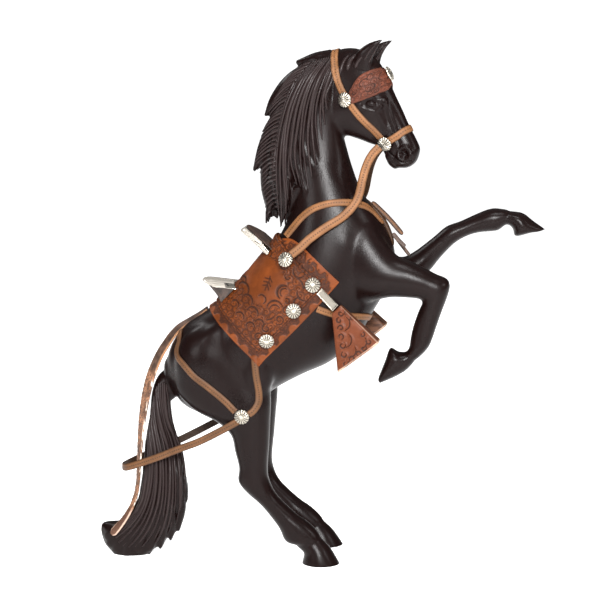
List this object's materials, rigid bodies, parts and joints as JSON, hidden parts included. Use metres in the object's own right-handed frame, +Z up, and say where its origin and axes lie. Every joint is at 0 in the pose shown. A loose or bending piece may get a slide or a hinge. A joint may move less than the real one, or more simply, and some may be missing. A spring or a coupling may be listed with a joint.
{
  "type": "wooden horse sculpture",
  "caption": "Rearing horse carved from dark wood, standing on its hind hooves and tail, with leather tack, a saddle and silver fittings.",
  "frame": {"origin": "middle of the footprint's bounding box, on the surface that the hooves and the tail stand on", "axes": "+Z up, +X the way the horse faces, +Y to its left; the picture looks at its right side, from -Y"},
  "size_m": [0.335, 0.101, 0.3915],
  "materials": {
    "dark_wood": "dark stained, satin",
    "tan_leather": "natural tan, tooled",
    "tooled_leather": "red-brown, tooled",
    "dark_leather": "dark brown, matt",
    "silver": "polished",
    "stirrup_wood": "red-brown, satin"
  },
  "bodies": {
    "root": {"horse": "dark_wood", "girth": "tan_leather", "breast_strap": "tan_leather", "saddle_pad": "tooled_leather", "saddle_seat": "tooled_leather", "pommel_plate": "silver", "pommel_leather": "dark_leather", "cantle_plate": "silver", "cantle_leather": "dark_leather", "headstall": "tan_leather", "noseband": "tan_leather", "browband": "tooled_leather", "brow_concho": "silver", "crupper_strap": "dark_leather", "haunch_strap_rear_near": "tan_leather", "haunch_strap_rear_far": "tan_leather", "haunch_strap_front_near": "tan_leather", "haunch_strap_front_far": "tan_leather", "tail_strap": "tan_leather", "saddle_concho_rein_near": "silver", "saddle_concho_rein_far": "silver", "saddle_concho_stirrup_near": "silver", "saddle_concho_stirrup_far": "silver", "saddle_concho_middle_near": "silver", "saddle_concho_middle_far": "silver", "saddle_concho_rear_near": "silver", "saddle_concho_rear_far": "silver", "haunch_concho_near": "silver", "haunch_concho_far": "silver", "cheek_concho_near": "silver", "cheek_concho_far": "silver", "nose_concho_near": "silver", "nose_concho_far": "silver", "stirrup_bar_near": "silver", "stirrup_bar_far": "silver", "stirrup_near": "stirrup_wood", "stirrup_far": "stirrup_wood", "rein_near": "tan_leather", "rein_far": "tan_leather", "chest_thong_long": "dark_leather", "chest_thong_near": "dark_leather", "chest_thong_far": "dark_leather"}
  },
  "joints": []
}
